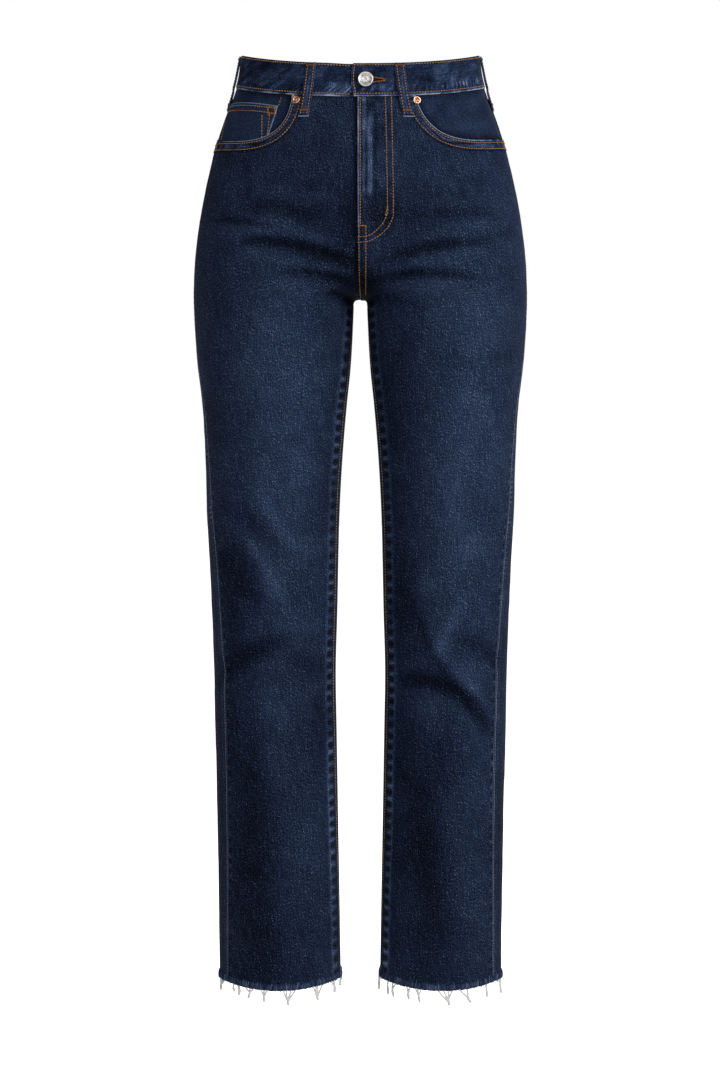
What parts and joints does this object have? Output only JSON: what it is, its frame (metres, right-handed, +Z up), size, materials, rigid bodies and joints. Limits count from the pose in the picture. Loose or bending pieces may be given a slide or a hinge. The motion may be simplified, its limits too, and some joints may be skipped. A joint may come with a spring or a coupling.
{
  "type": "raw hem jeans",
  "caption": "Straight-leg high-waisted denim trousers with scoop and patch pockets, belt loops, a shank button and frayed raw hems, hollow and filled out as if worn.",
  "frame": {"origin": "middle of the waist opening, half way up the waistband at the sides, where the wearer's waist holds the garment", "axes": "+Z up along the body, the front faces -Y, the wearer's left side is at +X"},
  "size_m": [0.359, 0.2385, 1.0202],
  "materials": {
    "indigo_denim": "matte twill, worn paler at seams and edges",
    "facing_denim": "matte twill",
    "frayed_denim": "raw frayed edge",
    "brushed_nickel": "satin, plain rings",
    "copper": "worn copper"
  },
  "bodies": {
    "root": {"front_left": "indigo_denim", "front_right": "indigo_denim", "back_left": "indigo_denim", "back_right": "indigo_denim", "yoke_left": "indigo_denim", "yoke_right": "indigo_denim", "waistband": "indigo_denim", "pocket_facing_left": "facing_denim", "pocket_facing_right": "facing_denim", "coin_pocket": "indigo_denim", "back_pocket_left": "indigo_denim", "back_pocket_right": "indigo_denim", "belt_loop_front_left": "indigo_denim", "belt_loop_front_right": "indigo_denim", "belt_loop_side_left": "indigo_denim", "belt_loop_side_right": "indigo_denim", "belt_loop_back": "indigo_denim", "shank_button": "brushed_nickel", "rivet_left": "copper", "rivet_right": "copper", "frayed_hem_left": "frayed_denim", "frayed_hem_right": "frayed_denim"}
  },
  "joints": []
}
